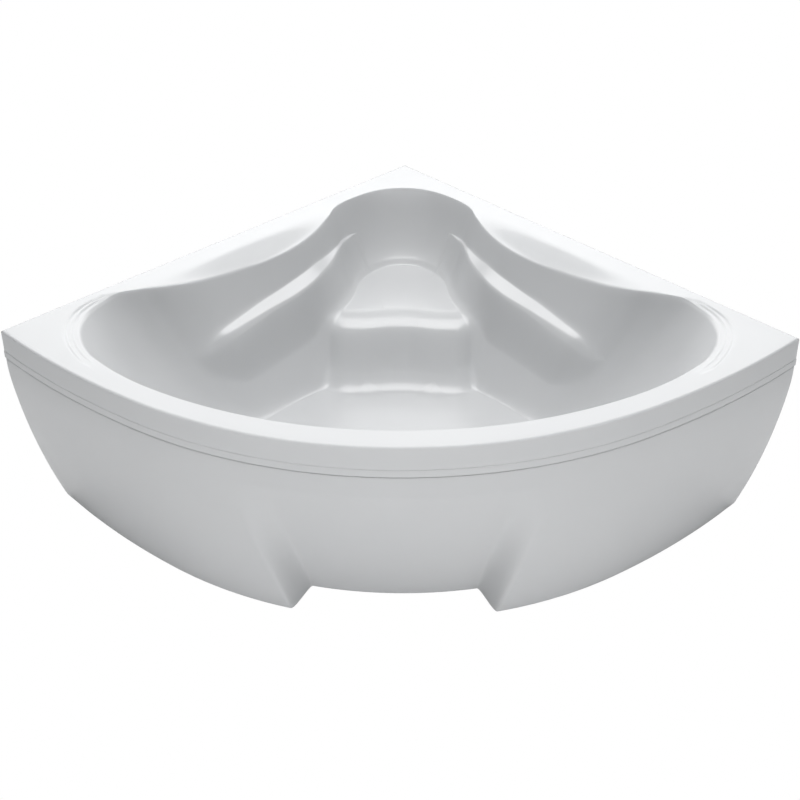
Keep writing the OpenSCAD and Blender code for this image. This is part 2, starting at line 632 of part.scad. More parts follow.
function apron_section(x) =
    let (t = apron_set(x, apron_top), b = apron_set(x, apron_foot), c = apron_in(x, apron_foot + apron_t),
        e = apron_in(x, apron_top - apron_t))
    concat([apron_row(x, t + top_flange, apron_top), apron_row(x, t + 1.5, apron_top)],
        [for (z = apron_zs) apron_row(x, apron_set(x, z), z)],
        [apron_row(x, b, apron_foot), apron_row(x, c + low_flange - apron_t, apron_foot),
            apron_row(x, c + low_flange - apron_t, apron_foot + apron_t),
            apron_row(x, c, apron_foot + apron_t)],
        [for (i = [len(apron_zs) - 1:-1:1]) apron_row(x, apron_in(x, apron_zs[i]), apron_zs[i])],
        [apron_row(x, e, apron_top - apron_t), apron_row(x, t + top_flange, apron_top - apron_t)]);
module apron_panel() {
    secs = [for (x = apron_x) apron_section(x)];
    n = len(secs);
    m = len(secs[0]);
    h = len(apron_zs);
    side_faces = [for (j = [0:n - 2]) for (r = [0:m - 1])
        let (b = (r + 1) % m) each quad(j * m + r, j * m + b, (j + 1) * m + b, (j + 1) * m + r)];
    cap = concat([[0, 1, m - 2], [0, m - 2, m - 1], [1, 2, m - 2]],
        [for (i = [0:h - 2]) each [[2 + i, 3 + i, m - 3 - i], [2 + i, m - 3 - i, m - 2 - i]]],
        [[h + 1, h + 5, h + 6], [h + 1, h + 2, h + 5], [h + 2, h + 3, h + 5], [h + 3, h + 4, h + 5]]);
    near_cap = [for (f = cap) [f[2], f[1], f[0]]];
    far_cap = [for (f = cap) f + [1, 1, 1] * (n - 1) * m];
    color("white") difference() {
        polyhedron(flat_list(secs), [for (f = concat(side_faces, near_cap, far_cap)) [f[2], f[1], f[0]]],
            convexity = 8);
        for (p = bracket_pos) at_bracket(p) hole(0, flange_reach, 2.2, 0, 20);
    }
}
module at_front(g, d) {
    translate([0, c1y, 0]) rotate([0, 0, g]) translate([0, -(mid_radius - d), 0]) children();
}
// Clips: screwed under the front batten, their lip holds the apron's top flange
clip_top = deck_low - batten_t - seat_gap;
lip_top = apron_top - apron_t - seat_gap;
module panel_clips() {
    color("silver") for (g = clip_angles) at_front(g, 0) difference() {
        union() {
            translate([-15, 20, lip_top - 2.5]) cube([30, 2.5, clip_top - lip_top + 2.5]);
            translate([-15, 20, clip_top - 2.5]) cube([30, 20, 2.5]);
            translate([-15, 6, lip_top - 2.5]) cube([30, 15, 2.5]);
        }
        hole(0, 32, 1.8, clip_top - 5, clip_top + 1);
    }
}
module clip_screws() {
    color("gold") for (g = clip_angles) at_front(g, 32) {
        rod(1.5, clip_top - 3, clip_top + 13);
        rod(3.2, clip_top - 4.8, clip_top - 2.5 - seat_gap);
    }
}
// Brackets: screwed to the tube plugs, their foot rests on the apron's lower flange
low_flange_top = apron_foot + apron_t + seat_gap;
bracket_pos = [[-run_x, runner_front_y, 0, (runner_low + runner_top) / 2],
    [run_x, runner_front_y, 0, (runner_low + runner_top) / 2],
    [-rail_end, front_rail_y, -90, (rail_low + rail_top) / 2],
    [rail_end, front_rail_y, 90, (rail_low + rail_top) / 2]];
flange_reach = 4;
module at_bracket(p) {
    translate([p[0], p[1], 0]) rotate([0, 0, p[2]]) children();
}
module panel_brackets() {
    color("silver") for (p = bracket_pos) at_bracket(p) difference() {
        union() {
            translate([-12, -3.1, low_flange_top]) cube([24, 3, p[3] + 12 - low_flange_top]);
            translate([-12, -3.1, low_flange_top]) cube([24, 10, 3]);
        }
        translate([0, 0, p[3]]) rotate([90, 0, 0]) rod(2.1, -1, 8);
        hole(0, flange_reach, 1.95, 0, 20);
    }
}
module bracket_screws() {
    color("gold") for (p = bracket_pos) at_bracket(p) {
        translate([0, 0, p[3]]) rotate([90, 0, 0]) {
            rod(1.9, 1.5 - plug_len, 4);
            rod(3.6, 3.1 + seat_gap, 5.4);
        }
        hole(0, flange_reach, 1.9, apron_foot - 1, low_flange_top + 6);
        hole(0, flange_reach, 3.6, apron_foot - 2.4, apron_foot - seat_gap);
    }
}
// Wall brackets: screwed to the wall, the rim's lower edge stands in their groove
module wall_brackets() {
    color("silver") for (side = [-1, 1]) for (u = wall_bracket_u) on_wall(side) translate([u, 0, 0])
        difference() {
            union() {
                translate([-20, -3, band_z - 78]) cube([40, 3, 78 - seat_gap]);
                translate([-20, -shell_t - 3.3, band_z - 3]) cube([40, shell_t + 3.3, 3 - seat_gap]);
                translate([-20, -shell_t - 3.3, band_z - 3]) cube([40, 3, 20]);
            }
            for (z = [band_z - 60, band_z - 30]) translate([0, 0, z]) rotate([90, 0, 0]) rod(2.75, -1, 5);
        }
}

// A rod along a line of points, with round bends of one radius; a short collar covers each
// join of a straight length and a bend, and the ends reach over by a given length
module route(pts, r, bend, over) {
    n = len(pts) - 1;
    dirs = [for (i = [0:n - 1]) unit(pts[i + 1] - pts[i])];
    turns = [for (i = [1:n - 1]) acos(dirs[i - 1] * dirs[i])];
    cuts = [for (t = turns) bend * tan(t / 2)];
    starts = concat([-over], [for (c = cuts) c + 0.5]);
    ends = concat([for (c = cuts) c + 0.5], [-over]);
    for (i = [0:n - 1])
        along(pts[i], dirs[i]) rod(r, starts[i], norm(pts[i + 1] - pts[i]) - ends[i]);
    for (i = [1:n - 1]) {
        toward = unit(dirs[i] - (dirs[i] * dirs[i - 1]) * dirs[i - 1]);
        from = pts[i] - cuts[i - 1] * dirs[i - 1];
        at_axes(from + bend * toward, -toward, dirs[i - 1])
            rotate_extrude(angle = turns[i - 1]) translate([bend, 0]) circle(r = r);
        along(from, dirs[i - 1]) rod(r + 0.6, -1.2, 1.2);
        along(pts[i] + cuts[i - 1] * dirs[i], dirs[i]) rod(r + 0.6, -1.2, 1.2);
    }
}
module along(p, d) {
    side = unit(abs(d[0]) < 0.9 ? cross(d, [1, 0, 0]) : cross(d, [0, 1, 0]));
    at_axes(p, side, cross(d, side)) children();
}
module at_axes(p, x, y) {
    z = cross(x, y);
    multmatrix([[x[0], y[0], z[0], p[0]], [x[1], y[1], z[1], p[1]], [x[2], y[2], z[2], p[2]]])
        children();
}

// Overflow, built along its own axis with z into the basin and y down
function overflow_pt(p) =
    [p[0], overflow_y + p[1] * sin(overflow_tilt) + p[2] * cos(overflow_tilt),
        overflow_z - p[1] * cos(overflow_tilt) + p[2] * sin(overflow_tilt)];
cup_end = -45;
hose_deep = -31;
spool_z = cup_end - 5;
spool_r = 6;
wire_x = spool_r + 1;
hose_dir = [0, sin(hose_lean), -cos(hose_lean)];
body_c = overflow_pt([0, 0, hose_deep]);
module along_hose() {
    translate(body_c) rotate([hose_lean - 180, 0, 0]) children();
}
module overflow_plate() {
    low = boss_rise + seat_gap;
    color("silver") at_overflow() difference() {
        union() {
            ring(overflow_r + 11, 17, low, low + 2.5);
            ring(overflow_r - 4.1, overflow_r - 8, -12, low + 1);
            difference() {
                rod(18.5, low, low + 2.5);
                for (a = [0:60:300]) rotate([0, 0, a]) hole(12.3, 0, 3.6, -5, 10);
            }
            rod(7, -6, low + 2.5);
        }
        rod(shaft_r + run_clear, -20, 10);
    }
}
module overflow_knob() {
    color("silver") at_overflow() {
        difference() {
            union() {
                rod(33, 5, 17);
                translate([0, 0, 17]) cylinder(r1 = 33, r2 = 30, h = 3);
            }
            rod(30, 4, 15);
        }
        rod(shaft_r, spool_z - 4.5, 16);
        translate([-2, -24, 19.5]) cube([4, 48, 2.5]);
    }
}
module cable_drum() {
    color("dimgray") at_overflow() difference() {
        union() {
            rod(spool_r, spool_z - 3.5, spool_z + 3.5);
            rod(spool_r + 3, spool_z - 3.5, spool_z - 2);
            rod(spool_r + 3, spool_z + 2, spool_z + 3.5);
        }
        rod(shaft_r + run_clear / 2, spool_z - 10, spool_z + 10);
    }
}
module overflow_gasket() {
    color("dimgray") at_overflow() ring(overflow_r + 12, overflow_r + 0.3, -shell_t - 3, -shell_t - 1.02);
}
module overflow_body() {
    color("whitesmoke") difference() {
        union() {
            at_overflow() {
                rod(overflow_r + 12, -shell_t - 5.5, -shell_t - 3.02);
                rod(overflow_r - 0.3, -shell_t - 5.5, -1);
                rod(overflow_r + 1, cup_end, -shell_t - 4);
                translate([wire_x - 5, 16, spool_z - 5]) cube([10, 8, 7 - spool_z + cup_end]);
            }
            along_hose() rod(hose_r - 3, 10, 62);
        }
        at_overflow() {
            rod(overflow_r - 4, cup_end + 3, 5);
            rod(shaft_r + run_clear, cup_end - 5, 0);
            translate([wire_x, 0, spool_z]) rotate([-90, 0, 0]) rod(1.2, 10, 30);
        }
        along_hose() rod(hose_r - 5, 5, 70);
        cable_start() rod(cable_r + run_clear, 4, 12);
    }
}
// The cable runs down behind the hose, turns level and ends under the lever's wheel
cable_r = 2.5;
inlet_z = 146;
lever_z = 127;
lever_arm = 13;
lever_y = drain_y - lever_arm;
wheel_x = 32.5;
wheel_r = 11.5;
cable_z = lever_z - wheel_r - 1.1;
function level_pt(p, d, z) = p + d * (p[2] - z) / -d[2];
cable_from = overflow_pt([wire_x, 16, spool_z]);
cable_turn = [wheel_x, level_pt(cable_from, hose_dir, cable_z)[1], cable_z];
cable_end = [wheel_x, lever_y - 23, cable_z];
cable_dir = unit(cable_turn - cable_from);
module cable_start() {
    side = unit(cross(cable_dir, [1, 0, 0]));
    at_axes(cable_from, side, cross(cable_dir, side)) children();
}
module control_cable() {
    wire_from = overflow_pt([wire_x, 0, spool_z]);
    color("dimgray") {
        route([cable_from + 4.2 * cable_dir, cable_turn, cable_end], cable_r, 35, 0);
        at_overflow() translate([wire_x, 0, spool_z]) rotate([-90, 0, 0]) rod(0.8, 0, 21);
        translate(cable_end) rotate([-90, 0, 0]) rod(0.8, -1, 23);
    }
}
module overflow_hose() {
    turn = level_pt(body_c, hose_dir, inlet_z);
    line = [body_c + 30 * hose_dir, turn, [0, drain_y - 36, inlet_z]];
    color("lightgray") difference() {
        route(line, hose_r, 45, 0);
        route(line, hose_r - 3 + run_clear, 45, 1);
    }
}
module hose_clips() {
    color("silver") {
        along_hose() ring(hose_r + 1.5, hose_r + run_clear, 39, 48);
        translate([0, drain_y - 50, inlet_z]) rotate([-90, 0, 0])
            ring(hose_r + 1.5, hose_r + run_clear, 0, 9);
    }
}

// Waste, built at the drain
dish_z = basin_z - dish_d;
sleeve_r = drain_r - 2;
module waste_flange() {
    color("silver") translate([0, drain_y, 0]) difference() {
        union() {
            difference() {
                union() {
                    rod(35, dish_z + 1.6, dish_z + 4);
                    rod(sleeve_r, dish_z - 26, dish_z + 3);
                }
                rod(sleeve_r - 2.5, dish_z - 27, dish_z + 5);
            }
            intersection() {
                rod(sleeve_r - 1, dish_z - 24, dish_z - 20);
                union() {
                    translate([-40, -2, 0]) cube([80, 4, 400]);
                    translate([-2, -40, 0]) cube([4, 80, 400]);
                    rod(stem_r + 3.5, 0, 400);
                }
            }
        }
        rod(stem_r + run_clear, 0, 400);
    }
}
module flange_gasket() {
    color("dimgray") translate([0, drain_y, 0]) ring(34, drain_r + 0.2, dish_z, dish_z + 1.58);
}
module waste_gasket() {
    color("dimgray") translate([0, drain_y, 0]) ring(37, drain_r + 0.2, under_z - 2.5, under_z - 0.02);
}
module waste_body() {
    top = under_z - 2.52;
    color("whitesmoke") translate([0, drain_y, 0]) difference() {
        union() {
            rod(38, top - 4, top);
            rod(30, 118, top);
            rod(pipe_r, 92, 120);
            translate([0, 0, inlet_z]) rotate([90, 0, 0]) rod(hose_r - 3, 24, 62);
            translate([0, -lever_arm, lever_z]) rotate([0, 90, 0]) rod(wheel_r + 4, 10, wheel_x + 4.5);
            translate([wheel_x, -lever_arm, cable_z]) rotate([90, 0, 0]) rod(cable_r + 2, 5, 30);
        }
        rod(sleeve_r + run_clear, 155, 200);
        rod(26.5, 122, 158);
        rod(pipe_r - pipe_t, 80, 130);
        translate([0, 0, inlet_z]) rotate([90, 0, 0]) rod(hose_r - 5, 10, 70);
        translate([0, -lever_arm, lever_z]) rotate([0, 90, 0]) {
            rod(wheel_r + 2.2, wheel_x - 4, wheel_x + 10);
            rod(pivot_r + run_clear, -25.6, wheel_x);
        }
        translate([wheel_x, -lever_arm, cable_z]) rotate([90, 0, 0]) {
            rod(cable_r + run_clear, 22.8, 40);
            rod(1.2, 0, 40);
        }
    }
}
// The lever rests with its arm down and lifts the plug's stem as it turns
lever_rest = -25;
stem_low = lever_z + (2 + stem_r) / cos(lever_rest) + lever_arm * tan(lever_rest) + 0.3;
module plug() {
    top = dish_z + 4;
    color("silver") translate([0, drain_y, 0]) {
        rod(26, top + seat_gap, top + 2.5);
        translate([0, 0, top + 2.5]) cylinder(r1 = 26, r2 = 22, h = 1.5);
        rod(7, top - 5, top + 1);
        rod(stem_r, stem_low, top);
        translate([0, 0, stem_low]) sphere(r = stem_r);
    }
}
module plug_seal() {
    top = dish_z + 4;
    color("dimgray") translate([0, drain_y, 0]) ring(sleeve_r - 2.8, 7 + run_clear, top - 3.5, top + seat_gap - 0.02);
}
module plug_lever() {
    color("silver") translate([0, lever_y, lever_z]) {
        rotate([0, 90, 0]) rod(pivot_r, -25.3, wheel_x + 3);
        rotate([0, 90, 0]) rod(4, -3, 3);
        rotate([lever_rest, 0, 0]) translate([-3, 0, -2]) cube([6, lever_arm + 3, 4]);
        rotate([0, 90, 0]) rod(wheel_r, wheel_x - 3.5, wheel_x + 3);
    }
}
// Trap: it turns back up beside the waste and its outlet leaves toward the back
trap_low = 62;
trap_bend_r = 25;
trap_top = 70;
elbow_z = trap_top + 10;
elbow_r = 24;
module trap_bend() {
    color("whitesmoke") translate([0, drain_y, 0]) {
        ring(pipe_r, pipe_r - pipe_t, trap_low, 92 - seat_gap);
        translate([-2 * trap_bend_r, 0, 0]) ring(pipe_r, pipe_r - pipe_t, trap_low, trap_top);
        translate([-trap_bend_r, 0, trap_low]) rotate([90, 0, 0]) rotate([0, 0, 180])
            rotate_extrude(angle = 180) translate([trap_bend_r, 0]) difference() {
                circle(r = pipe_r);
                circle(r = pipe_r - pipe_t);
            }
    }
}
module trap_inlet_nut() {
    color("whitesmoke") translate([0, drain_y, 0]) ring(pipe_r + 5, pipe_r + run_clear, 84, 99);
}
module trap_outlet_nut() {
    color("whitesmoke") translate([-2 * trap_bend_r, drain_y, 0])
        ring(pipe_r + 2.5, pipe_r + run_clear, trap_top - 7, trap_top + 7);
}
module outlet_pipe() {
    color("whitesmoke") translate([-2 * trap_bend_r, drain_y, 0]) {
        ring(pipe_r, pipe_r - pipe_t, trap_top + seat_gap, elbow_z);
        translate([0, elbow_r, elbow_z]) rotate([0, 0, 90]) rotate([90, 0, 0]) rotate([0, 0, 90])
            rotate_extrude(angle = 90) translate([elbow_r, 0]) difference() {
                circle(r = pipe_r);
                circle(r = pipe_r - pipe_t);
            }
        translate([0, elbow_r, elbow_z + elbow_r]) rotate([-90, 0, 0])
            ring(pipe_r, pipe_r - pipe_t, 0, 60);
    }
}

tub_shell();
base_board();
front_batten();
wall_batten(-1);  // wall_batten_left
wall_batten(1);  // wall_batten_right
rail_front();
rail_rear();
rail_spine();
runner(-1);  // runner_left
runner(1);  // runner_right
end_post(-1);  // end_post_left
end_post(1);  // end_post_right
back_post();
front_post(-1);  // front_post_left
front_post(1);  // front_post_right
seat_prop();
frame_bolts();
frame_nuts();
board_screws();
tube_plugs();
foot_nut_plates();
foot_lock_nuts();
foot_stud(0);  // stud_left
foot_stud(1);  // stud_right
foot_stud(2);  // stud_front_left
foot_stud(3);  // stud_front_right
foot_stud(4);  // stud_back
foot_pad(0);  // pad_left
foot_pad(1);  // pad_right
foot_pad(2);  // pad_front_left
foot_pad(3);  // pad_front_right
foot_pad(4);  // pad_back
apron_panel();
panel_clips();
clip_screws();
panel_brackets();
bracket_screws();
wall_brackets();
overflow_plate();
overflow_knob();
cable_drum();
overflow_gasket();
overflow_body();
overflow_hose();
hose_clips();
control_cable();
waste_flange();
flange_gasket();
waste_gasket();
waste_body();
plug();
plug_seal();
plug_lever();
trap_inlet_nut();
trap_bend();
trap_outlet_nut();
outlet_pipe();
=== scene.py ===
import json
import math

import bmesh
import bpy
import numpy as np
from mathutils import Matrix, Vector


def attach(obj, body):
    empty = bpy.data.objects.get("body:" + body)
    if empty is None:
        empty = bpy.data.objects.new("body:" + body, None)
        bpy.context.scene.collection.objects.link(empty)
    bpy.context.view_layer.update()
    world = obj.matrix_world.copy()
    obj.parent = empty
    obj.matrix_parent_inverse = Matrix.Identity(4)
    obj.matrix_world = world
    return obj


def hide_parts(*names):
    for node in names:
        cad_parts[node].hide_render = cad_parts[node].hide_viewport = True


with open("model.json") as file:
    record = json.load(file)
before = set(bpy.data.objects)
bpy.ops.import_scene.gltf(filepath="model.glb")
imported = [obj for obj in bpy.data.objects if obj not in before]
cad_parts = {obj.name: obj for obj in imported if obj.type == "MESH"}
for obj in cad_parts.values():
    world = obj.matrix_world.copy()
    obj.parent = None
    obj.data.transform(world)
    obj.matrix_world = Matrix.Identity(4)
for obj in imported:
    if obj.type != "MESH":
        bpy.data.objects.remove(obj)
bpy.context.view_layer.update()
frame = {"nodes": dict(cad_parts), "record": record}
NODES = frame["nodes"]

# Sizes of the tub in millimetres, the same as in the part's source
WALL = 1500
RIM = 640
FRONT_BOW = 455
FRONT_R = 1328
JOIN = math.radians(28.65)
DECK_FRONT = 62
EDGE_R = 6
SHELL_T = 8
BAND_Z = 558
BAND_FLARE = 9
STRIP_Z = 576
STRIP_STEP = 1.5
DIP = 35
RIDGE_DROP = 8
BASIN_Z = 190
UNDER_Z = BASIN_Z - 10
FLOOR_FALL = 0.012
WALL_CURVE = 1.5
SEAT_Z = 390
SEAT_V = 633
RISER_SLOPE = 3.2
SEAT_BLEND = 130
LEDGE_W = 50
DRAIN_V = 1250
FLOOR_MID_V = 1010
BULGE = 14

# The seat's front edge, set back at its middle and sides, then its roll, drop and run-out
MIDDLE_SET = 14
SIDE_SET = 70
SEAT_FALL = 0.03
ROLL_START = 80
SEAT_ROLL = 0.0042
ROLL_SOFT = 60
DROP_AHEAD = 16
DROP_BELOW = 35
RUN_OUT_AHEAD = 44
RUN_OUT_ABOVE = 72
RUN_OUT_SLOPE = 1.05
RUN_OUT_SOFT = 50
FLOOR_BLEND = 30
BACK_BLEND = 60

# Places worked out from the sizes
ROOT2 = math.sqrt(2)
HALF_W = WALL / ROOT2
CORNER_Y = (HALF_W + FRONT_BOW + BULGE) / 2
C1Y = CORNER_Y - HALF_W - FRONT_BOW + FRONT_R
JOIN_PT = np.array([FRONT_R * math.sin(JOIN), C1Y - FRONT_R * math.cos(JOIN)])
JOIN_N = np.array([-math.sin(JOIN), math.cos(JOIN)])
TO_CORNER = np.array([HALF_W, CORNER_Y - HALF_W]) - JOIN_PT
SIDE_R = (TO_CORNER @ TO_CORNER) / (2 * (TO_CORNER @ JOIN_N))
C2 = JOIN_PT + SIDE_R * JOIN_N
DRAIN_Y = CORNER_Y - DRAIN_V
SEAT_Y = CORNER_Y - SEAT_V

# Spokes along the wall, then half widths and distances from the corner of the opening and the floor
STATIONS = [0, 120, 245, 350, 440, 520, 600, 690, 785, 880, 975, 1065, 1160, 1270, 1390, 1500]
OPENING = [[0, 187], [90, 207], [168, 264], [218, 326], [238, 396], [268, 470],
           [320, 541], [392, 604], [466, 664], [534, 727], [603, 786], [672, 824],
           [742, 846], [808, 876], [850, 938], [859, 1008], [840, 1078], [795, 1150],
           [720, 1224]]
FLOOR = [[0, 340], [44, 348], [80, 378], [98, 433], [106, 503], [116, 566],
         [136, 624], [174, 672], [228, 720], [290, 768], [343, 816], [385, 862],
         [430, 908], [455, 950], [468, 990], [474, 1030], [476, 1070], [472, 1108],
         [462, 1153], [438, 1200], [388, 1248], [285, 1292], [150, 1318], [0, 1326]]


def lerp(a, b, t):
    return a + (b - a) * t


def ease(v, a, b):
    t = np.clip((v - a) / (b - a), 0, 1)
    return t * t * (3 - 2 * t)


def soft_min(a, b, w):
    h = np.maximum(w - np.abs(a - b), 0) / w
    return np.minimum(a, b) - h * h * w / 4


def soft_max(a, b, w):
    return -soft_min(-a, -b, w)


def pair(x, y):
    x, y = np.broadcast_arrays(x, y)
    return np.stack([x, y], -1)


# Outline of the rim
def wall_end(a, b):
    p = -a / ROOT2 - C2[0]
    q = CORNER_Y - a / ROOT2 - C2[1]
    return -(p - q) / ROOT2 + np.sqrt((p - q) ** 2 / 2 - (p * p + q * q - (SIDE_R - b) ** 2))


def wall_pt(u, d):
    return pair((u - d) / ROOT2, CORNER_Y - (u + d) / ROOT2)


def side_pt(g, d):
    return pair(C2[0] + (SIDE_R - d) * np.sin(g), C2[1] - (SIDE_R - d) * np.cos(g))


def mid_pt(g, d):
    return pair((FRONT_R - d) * np.sin(g), C1Y - (FRONT_R - d) * np.cos(g))


def outline(i, a, b):
    e = wall_end(a, b)
    wall = wall_pt(a + np.interp(i, np.arange(16), STATIONS) / WALL * (e - a), a)
    c = wall_pt(e, a)
    g = np.arctan2(c[..., 0] - C2[0], C2[1] - c[..., 1])
    side = side_pt(lerp(g, JOIN, (i - 15) / 4), b)
    mid = mid_pt(JOIN * (23 - i) / 4, b + 0 * i)
    i = np.broadcast_to(i, wall.shape[:-1])[..., None]
    return np.where(i <= 15, wall, np.where(i <= 19, side, mid))


def knots(rows):
    points = np.array(rows, float)
    back = points[[2, 1]] * [-1, 1]
    front = points[[22, 21]] * [-1, 1]
    return np.concatenate([back, points, front])


front_edge = [list(mid_pt(JOIN * (23 - i) / 4, DECK_FRONT)) for i in range(19, 24)]
OPENING_KNOTS = knots([[p[0], CORNER_Y - p[1]] for p in OPENING] + front_edge)
FLOOR_KNOTS = knots([[p[0], CORNER_Y - p[1]] for p in FLOOR])
FLOOR_MID = np.array([0, CORNER_Y - FLOOR_MID_V])


def smooth(points, i):
    j = np.minimum(np.floor(i), 22).astype(int)
    t = (i - j)[..., None]
    a, b, c, d = (points[j + n] for n in (1, 2, 3, 4))
    return 0.5 * (2 * b + (c - a) * t + (2 * a - 5 * b + 4 * c - d) * t * t
                  + (3 * b - a - 3 * c + d) * t ** 3)


# Heights
def deck_z(p):
    u = (CORNER_Y - p[..., 1] + np.abs(p[..., 0])) / ROOT2
    d = (CORNER_Y - p[..., 1] - np.abs(p[..., 0])) / ROOT2
    return RIM - DIP * ease(u, 400, 760) * (1 - ease(u, 760, 1150)) \
        * (1 - ease(d, 300, 400)) * ease(d, 70, 150)


def floor_z(y):
    return BASIN_Z + FLOOR_FALL * np.abs(y - DRAIN_Y)


# The seat rolls off gently towards its front edge, drops, and runs out onto the floor
def seat_top(p):
    edge = SEAT_Y + MIDDLE_SET * (1 - ease(np.abs(p[..., 0]), 20, 130)) \
        + SIDE_SET * ease(np.abs(p[..., 0]), 170, 330)
    ahead = edge - p[..., 1]
    roll = np.maximum(ahead + ROLL_START, 0)
    drop = SEAT_Z - DROP_BELOW - RISER_SLOPE * (ahead - DROP_AHEAD)
    run_out = BASIN_Z + RUN_OUT_ABOVE - RUN_OUT_SLOPE * (ahead - RUN_OUT_AHEAD)
    plane = SEAT_Z + SEAT_FALL * (p[..., 1] - SEAT_Y)
    front = soft_max(drop, run_out, RUN_OUT_SOFT)
    return soft_min(plane - SEAT_ROLL * roll * roll, front, ROLL_SOFT)


# Reach of the hollow where the seat meets a surface at height r: short at the floor, wide at
# the walls, widest at the seat's back
def blend_at(p, r):
    reach = SEAT_BLEND + BACK_BLEND * ease(CORNER_Y - p[..., 1], 420, 300)
    return lerp(FLOOR_BLEND, reach, ease(r, BASIN_Z + 30, BASIN_Z + 140))


# Two small steps around the basin's ends, at distance t outside the opening
def ridge(i, t):
    return RIDGE_DROP / 2 * ease(i, 12.6, 13.6) * (1 - ease(i, 16.8, 17.8)) \
        * (2 - ease(t, 16, 24) - ease(t, 32, 40))


def wall_z(i, s, e, f):
    a = deck_z(e) - ridge(i, 0)
    b = floor_z(f[..., 1])
    down = b + (a - b) * np.maximum(1 - s, 0) ** WALL_CURVE
    return np.where(s < 0, a - (a - b) * WALL_CURVE * s, down)


# Where the ledge starts on spoke i, as a share of the way from the opening to the floor's edge
def ledge_s(i):
    return 0.13 + 0.19 * (np.maximum(i - 5.6, 0) / 5.9) ** 1.5 + 0.04 * ease(i, 10.2, 11.4) \
        + 0.06 * (np.maximum(5.6 - i, 0) / 3.4) ** 1.2


def ledge_width(i):
    return (9 + (LEDGE_W - 9) * ease(i, 2.8, 7.4)) * ease(i, 2, 2.8) * (1 - ease(i, 10.2, 11.9))


# The ledge holds the wall's slope back over its width, so the wall below it stands further in
def ledge_shift(i, s, run):
    w = ledge_width(i)
    soft = 1 + 3 * ease(i, 6.5, 11)
    q = (s - ledge_s(i)) * run
    low = ledge_s(i) + w / run
    up = soft_max(q, 0, np.minimum(4, w / 3 + 0.01) * soft)
    held = soft_min(up, w, np.minimum(6, w / 3 + 0.01) * soft)
    fade = lerp(0.5, 0.18, ease(i, 3, 7))
    return 0.84 * held / run * (1 - ease(s, low, low + fade))


# A point of the basin on spoke i, from the opening (s 0) by the floor's edge (s 1) to its middle
def basin(i, s):
    e = smooth(OPENING_KNOTS, i)
    f = smooth(FLOOR_KNOTS, i)
    near = lerp(e, f, np.minimum(s, 1)[..., None])
    far = lerp(f, FLOOR_MID, np.maximum(s - 1, 0)[..., None])
    p = np.where((s <= 1)[..., None], near, far)
    shift = ledge_shift(i, s, np.linalg.norm(f - e, axis=-1))
    wall = wall_z(i, s - np.where(s > ledge_s(i) - 0.1, shift, 0), e, f)
    r = np.where(s > 1, floor_z(p[..., 1]), wall)
    z = soft_max(r, seat_top(p), blend_at(p, r))
    z = soft_min(z, deck_z(p) - ridge(i, 0), 12)
    return np.concatenate([p, z[..., None]], -1)


# A point of the deck at distance t outside the opening; q 0 to 1 leads on to the rim's fillet
def deck(i, t, q):
    e = smooth(OPENING_KNOTS, i)
    f = smooth(FLOOR_KNOTS, i)
    o = outline(i, EDGE_R, EDGE_R)
    n = np.linalg.norm(o - e, axis=-1)
    a = np.minimum(t * np.minimum(1, n / 80), n)
    p = lerp(e + (o - e) * (a / n)[..., None], o, q[..., None])
    m = np.linalg.norm(p - e, axis=-1)
    rise = wall_z(i, -m / np.linalg.norm(f - e, axis=-1), e, f)
    z = soft_min(rise, deck_z(p) - (1 - q) * ridge(i, t), 12)
    return np.concatenate([p, z[..., None]], -1)


def flare(z):
    return -BAND_FLARE * (RIM - EDGE_R - z) / (RIM - EDGE_R - BAND_Z)


def band(i, a, b, z):
    p = outline(i, a, b)
    return np.concatenate([p, np.full(p.shape[:-1] + (1,), z)], -1)


# How fine the basin's rings are: each radian of turning counts as TURN_MM of way
BAND_MID_Z = 606
SAMPLES = 500
TURN_MM = 130
WALL_RINGS = 118
MIDDLE_RINGS = 13


